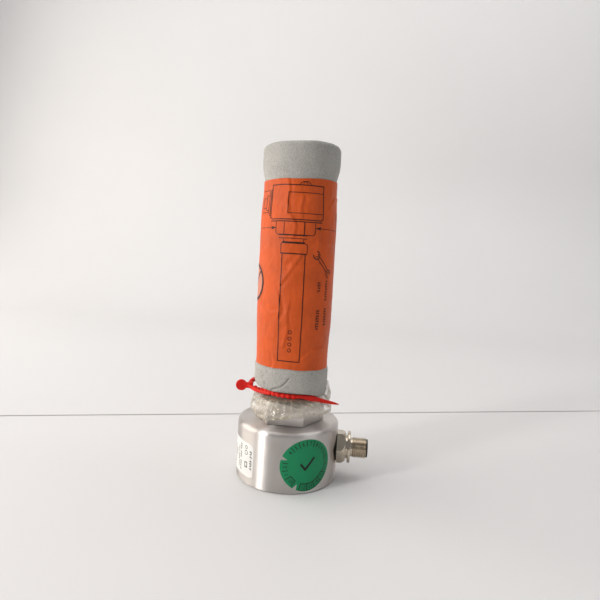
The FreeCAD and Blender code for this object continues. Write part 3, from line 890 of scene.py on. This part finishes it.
# squeezes or stretches the end of a bar that lies beyond x, about that end's middle
def taper(piece, x, beyond, tall, across, lift=0.0):
    mesh = piece.data
    ends = [v for v in mesh.vertices if (v.co.x > x * mm) == beyond]
    middle = sum((v.co for v in ends), Vector()) / len(ends)
    for v in ends:
        v.co.z = middle.z + (v.co.z - middle.z) * tall + lift * mm
        v.co.y = middle.y + (v.co.y - middle.y) * across
    return piece


def oneBead(place, turn):
    bpy.ops.mesh.primitive_uv_sphere_add(segments=20, ring_count=12, radius=1 * mm, location=place,
                                         rotation=(0, 0, math.radians(turn)), scale=tie["bead"])
    return bpy.context.object


# beads all round the band, but for the stretch beside the lock and the one under the tail
def tieBeads():
    beads = []
    angle = tie["firstBead"]
    while angle < 360 + tie["firstBead"] - 46:
        if not tie["lastBead"] < angle < 66:
            spot = ringPoint(angle, tie["radius"] + 0.1, tie["z"])
            beads.append(oneBead(spot, angle))
        angle += tie["pitch"]
    for place in tie["strandBeads"]:
        beads.append(oneBead(Vector(place) * mm, tie["strandTurn"]))
    return beads


def tieLoop():
    bpy.ops.mesh.primitive_torus_add(major_segments=160, minor_segments=14, major_radius=tie["radius"] * mm,
                                     minor_radius=0.82 * mm, location=(0, 0, tie["z"] * mm))
    loop = bpy.context.object
    loop.scale = (1, 1, 1.4)
    return [loop]


# finger disc with a raised rim, its neck, the lock and the two strands that part from it
def tieLock():
    parts = []
    centre = (-29.3, 0, 51.9)
    bpy.ops.mesh.primitive_cylinder_add(vertices=72, radius=3.35 * mm, depth=1.1 * mm,
                                        rotation=(math.pi / 2, 0, 0), location=[c * mm for c in centre])
    parts.append(shaped(bpy.context.object, 0.3))
    for side in (-0.5, 0.5):
        bpy.ops.mesh.primitive_torus_add(major_segments=72, minor_segments=10, major_radius=2.75 * mm,
                                         minor_radius=0.28 * mm, rotation=(math.pi / 2, 0, 0),
                                         location=(centre[0] * mm, side * mm, centre[2] * mm))
        parts.append(bpy.context.object)
    parts.append(taper(bar(-27.6, -23.4, 0, 51.95, 1.4, 3.3, 0.3), -25.5, True, 1.12, 1.3))
    parts.append(taper(bar(-25.0, -22.3, 0, 52.2, 2.6, 3.0, 0.5), -24, True, 1.1, 1.0, 0.3))
    parts.append(strand(((-24.9, -0.2, 51.9), (-21.2, -3.4, 50.7), (-17.6, -7.0, 50.5),
                         (-14.2, -10.2, 50.8), (-11.0, -13.1, 51.1)), (1.25, 1.3, 1.2, 1.05, 0.95)))
    parts.append(strand(((-24.9, 0.2, 52.3), (-23.6, 3.4, 53.6), (-22.2, 9.4, 53.7), (-16.4, 12.6, 50.9),
                         (-9.6, 14.4, 51.0)), (1.3, 1.4, 1.4, 1.1, 0.9)))
    return parts


# a round strand along a smooth line, its radius given point by point, in mm
def strand(places, radii):
    bpy.ops.curve.primitive_nurbs_path_add()
    piece = bpy.context.object
    spline = piece.data.splines[0]
    spline.points.add(max(0, len(places) - len(spline.points)))
    for point, place, radius in zip(spline.points, places, radii):
        point.co = (*(Vector(place) * mm), 1)
        point.radius = radius
    spline.use_endpoint_u = True
    spline.order_u = 3
    spline.resolution_u = 10
    piece.data.bevel_depth = 1.0 * mm
    piece.data.bevel_resolution = 6
    piece.data.use_fill_caps = True
    choose(piece)
    bpy.ops.object.convert(target="MESH")
    return piece


# the loose end, wide where it leaves the loop and pointed at its tip, flattened
def tieTail():
    root, tip = Vector((8.9, -15.6, 51.25)), Vector((29.7, -5.0, 45.3))
    places = [Vector((5.0, -16.3, 51.3))]
    places += [root + (tip - root) * share for share in (0.0, 0.14, 0.24, 0.33, 0.55, 0.78, 0.93, 1.0)]
    tail = strand(places, (0.85, 1.05, 1.4, 1.85, 1.6, 1.2, 0.95, 0.6, 0.2))
    along = Vector((tip.x - root.x, tip.y - root.y, 0)).normalized()
    across = Vector((along.y, -along.x, 0))
    for v in tail.data.vertices:
        v.co -= across * (v.co - root * mm).dot(across) * 0.52
    return [tail]


lockParts = tieLock()
for part in lockParts:
    settle(part)
    part.data.transform(Matrix.Rotation(math.radians(tie["turn"]), 4, "Z"))
band = joined(tieLoop() + tieBeads(), "band")
settle(band)
middle = Matrix.Translation((0, 0, tie["z"] * mm))
band.data.transform(middle @ Matrix.Rotation(math.radians(tie["lean"]), 4, "Y") @ middle.inverted())
tiePiece = joined([band] + lockParts + tieTail(), "bead_tie")
settle(tiePiece, "bead_tie")
smoothEdges(tiePiece, 50)
dress(tiePiece, "bag", redPlastic, "tie_red", "sealing_tie")


print("setting up the studio")


def stageMaterial(name, color, roughness):
    material, tree, shader = newMaterial(name, color, roughness)
    cloud = noiseOf(tree, objectPlace(tree), 3.0)
    tree.links.new(rampOf(tree, cloud, shade(color, 0.985), shade(color, 1.015)), shader.inputs["Base Color"])
    return material


# a flat table that curves up into a pale wall
def backdrop():
    turnAt, bend, high = 0.62, 0.4, 2.4
    section = [(-1.6, 0.0), (turnAt, 0.0)]
    for a in steps(0, 90, 24)[1:]:
        turn = math.radians(a)
        section.append((turnAt + bend * math.sin(turn), bend * (1 - math.cos(turn))))
    section.append((turnAt + bend, high))
    points = [Vector((x, y, z - 0.0001)) for y, z in section for x in (-2.4, 2.4)]
    sweep = makeMesh("stage_table", points, gridFaces(len(section), 2, False))
    sweep.data.materials.append(stageMaterial("stage_table", (0.755, 0.745, 0.74), 0.55))
    return sweep


# the thin dark joint between the table and the wall behind it
def tableJoint():
    length, width, behind, turn = 3.0, 0.0011, 0.1105, 16.3
    bpy.ops.mesh.primitive_plane_add(size=1, location=(0, behind, 0.0002),
                                     rotation=(0, 0, math.radians(turn)))
    joint = bpy.context.object
    joint.scale = (length, width, 1)
    settle(joint, "stage_joint")
    joint.data.materials.append(stageMaterial("stage_joint", (0.42, 0.40, 0.39), 0.8))
    return joint


def softLight(name, place, size, power, color, target=(0, 0, 0.09)):
    bpy.ops.object.light_add(type="AREA", location=place)
    light = bpy.context.object
    light.name = name
    light.data.shape = "RECTANGLE"
    light.data.size, light.data.size_y = size
    light.data.energy = power
    light.data.color = color
    away = Vector(place) - Vector(target)
    light.rotation_euler = away.to_track_quat("Z", "Y").to_euler()
    return light


lamps = [softLight("stage_key", (-1.15, 0.06, 0.48), (1.15, 1.1), 10.3, (1.0, 0.94, 0.86)),
         softLight("stage_window", (-0.80, -0.66, 0.36), (0.11, 0.7), 5.6, (1.0, 0.985, 0.97)),
         softLight("stage_back", (0.2, 0.25, 1.5), (2.2, 1.0), 11.8, (1.0, 0.99, 0.985), (0.1, 0.7, 0.2)),
         softLight("stage_fill", (1.1, -0.7, 0.45), (0.8, 0.9), 1.2, (0.88, 0.94, 1.0))]
backdrop()
tableJoint()

world = bpy.data.worlds.new("studio")
bpy.context.scene.world = world
bpy.context.scene.view_settings.view_transform = "Standard"
world.use_nodes = True
sky = world.node_tree.nodes["Background"]
sky.inputs["Color"].default_value = (*studio["skyColor"], 1)
sky.inputs["Strength"].default_value = studio["skyStrength"]

bpy.ops.object.camera_add()
camera = bpy.context.object
camera.data.lens = studio["lens"]
camera.data.sensor_width = 36
camera.data.clip_start = 0.01
camera.matrix_world = (Matrix.Translation(Vector(studio["place"]) * mm)
                       @ Matrix.Rotation(math.radians(studio["heading"]), 4, "Z")
                       @ Matrix.Rotation(math.radians(90 - studio["down"]), 4, "X")
                       @ Matrix.Rotation(math.radians(studio["roll"]), 4, "Z"))
bpy.context.scene.camera = camera

for piece in (foamPiece, labelPiece, skirtPiece, sockPiece, tiePiece):
    area = sum(face.area for face in piece.data.polygons)
    print(piece.name, "faces", len(piece.data.polygons), "area", round(area, 5))
